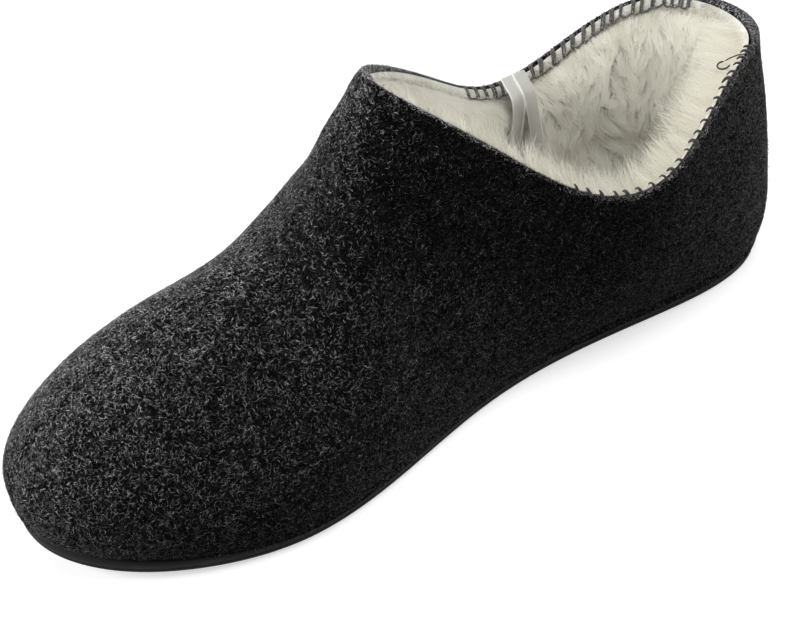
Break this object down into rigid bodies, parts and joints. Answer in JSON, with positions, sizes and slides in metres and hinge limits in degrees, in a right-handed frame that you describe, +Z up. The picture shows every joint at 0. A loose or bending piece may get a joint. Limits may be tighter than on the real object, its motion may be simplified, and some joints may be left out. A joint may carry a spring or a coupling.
{
  "type": "felt slipper",
  "caption": "Right-foot indoor slipper of charcoal wool felt with a pointed throat, deep off-white plush lining, thin rubber sole and a ribbon loop inside the collar.",
  "frame": {"origin": "on the floor, under the middle of the slipper's bounding box", "axes": "+Y from toe to heel, along the length; +X to the inner side of the foot, the wearer's left; +Z up"},
  "size_m": [0.0928, 0.2546, 0.108],
  "materials": {
    "black_rubber": "matt black rubber",
    "charcoal_felt": "fuzzy charcoal melange wool felt",
    "white_plush": "deep off-white plush pile",
    "white_satin": "pale satin ribbon"
  },
  "bodies": {
    "root": {"outsole": "black_rubber", "upper": "charcoal_felt", "fur_lining": "white_plush", "insole": "white_plush", "ribbon_loop": "white_satin"}
  },
  "joints": []
}
